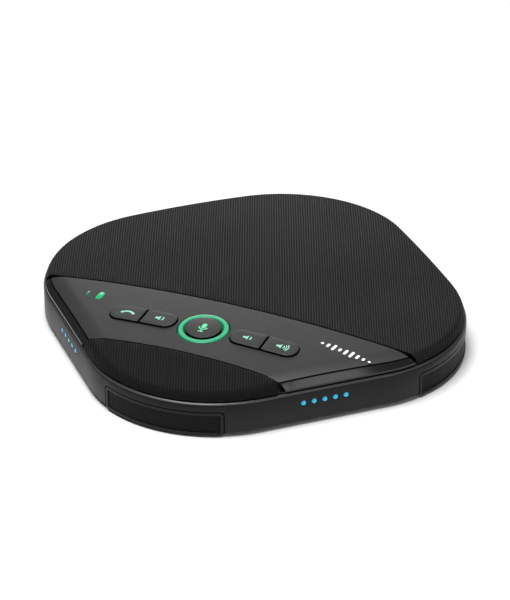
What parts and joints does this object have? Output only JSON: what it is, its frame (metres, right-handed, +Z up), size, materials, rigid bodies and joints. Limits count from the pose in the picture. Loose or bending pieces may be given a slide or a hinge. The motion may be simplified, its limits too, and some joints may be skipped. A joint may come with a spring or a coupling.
{
  "type": "conference speakerphone",
  "caption": "Low rounded-square desk speakerphone with a domed fabric top, a key panel with a lit round mute key, light dots on two sides and a mesh over a microphone in each corner.",
  "frame": {"origin": "on the surface that the four feet stand on, under the middle of the case", "axes": "+Z up; the front corner, nearest the user, points along -Y; the key row runs along X with the call key at -X"},
  "size_m": [0.16, 0.16, 0.0225],
  "materials": {
    "case_plastic": "fine satin, moulded",
    "panel_plastic": "smooth satin, bevelled ends glossy",
    "key_plastic": "smooth satin with printed, lit symbols",
    "acoustic_fabric": "fine woven acoustic cloth stretched over a perforated shell",
    "mic_mesh": "finely perforated",
    "foot_rubber": "matt moulded rubber",
    "green_light": "translucent light guide, lit green",
    "blue_light": "translucent light guide, lit blue",
    "board_green": "solder resist over glass fibre",
    "steel": "plain plated steel",
    "paper_cone": "pressed paper",
    "ferrite": "sintered ferrite",
    "battery_wrap": "laminated foil pouch",
    "flex_amber": "polyimide film",
    "switch_black": "moulded, with a steel cover"
  },
  "bodies": {
    "case": {"base_shell": "case_plastic", "battery_light_window": "green_light", "battery_pack": "battery_wrap", "bottom_cover": "case_plastic", "call_switch": "switch_black", "case_screw_back_left": "steel", "case_screw_back_right": "steel", "case_screw_front_left": "steel", "case_screw_front_right": "steel", "control_panel": "panel_plastic", "corner_grille_back": "mic_mesh", "corner_grille_front": "mic_mesh", "corner_grille_left": "mic_mesh", "corner_grille_right": "mic_mesh", "front_grille": "acoustic_fabric", "key_board": "board_green", "key_board_screw_back_left": "steel", "key_board_screw_back_right": "steel", "key_board_screw_front_left": "steel", "key_board_screw_front_right": "steel", "light_bar_front_left": "blue_light", "light_bar_front_right": "blue_light", "link_light_window": "green_light", "main_board": "board_green", "main_grille": "acoustic_fabric", "microphone_back": "steel", "microphone_boot_back": "foot_rubber", "microphone_boot_front": "foot_rubber", "microphone_boot_left": "foot_rubber", "microphone_boot_right": "foot_rubber", "microphone_front": "steel", "microphone_left": "steel", "microphone_right": "steel", "mute_switch": "switch_black", "ribbon_cable": "flex_amber", "ring_light_guide": "green_light", "rubber_foot_back": "foot_rubber", "rubber_foot_front": "foot_rubber", "rubber_foot_left": "foot_rubber", "rubber_foot_right": "foot_rubber", "speaker_basket": "steel", "speaker_cone": "paper_cone", "speaker_gasket": "foot_rubber", "speaker_magnet": "ferrite", "speaker_switch": "switch_black", "top_frame": "case_plastic", "usb_port": "steel", "volume_down_switch": "switch_black", "volume_up_switch": "switch_black", "wireless_antenna": "board_green"},
    "call_key": {"call_key": "key_plastic"},
    "speaker_key": {"speaker_key": "key_plastic"},
    "mute_key": {"mute_key": "key_plastic"},
    "volume_down_key": {"volume_down_key": "key_plastic"},
    "volume_up_key": {"volume_up_key": "key_plastic"}
  },
  "joints": [
    {"name": "call_press", "type": "slide", "parent": "case", "child": "call_key", "axis": [0, 0, -1], "range_m": [0, 0.0006], "stiffness_N_per_m": 2000, "springref_m": -0.0003},
    {"name": "speaker_press", "type": "slide", "parent": "case", "child": "speaker_key", "axis": [0, 0, -1], "range_m": [0, 0.0006], "stiffness_N_per_m": 2000, "springref_m": -0.0003},
    {"name": "mute_press", "type": "slide", "parent": "case", "child": "mute_key", "axis": [0, 0, -1], "range_m": [0, 0.0006], "stiffness_N_per_m": 2000, "springref_m": -0.0003},
    {"name": "volume_down_press", "type": "slide", "parent": "case", "child": "volume_down_key", "axis": [0, 0, -1], "range_m": [0, 0.0006], "stiffness_N_per_m": 2000, "springref_m": -0.0003},
    {"name": "volume_up_press", "type": "slide", "parent": "case", "child": "volume_up_key", "axis": [0, 0, -1], "range_m": [0, 0.0006], "stiffness_N_per_m": 2000, "springref_m": -0.0003}
  ]
}
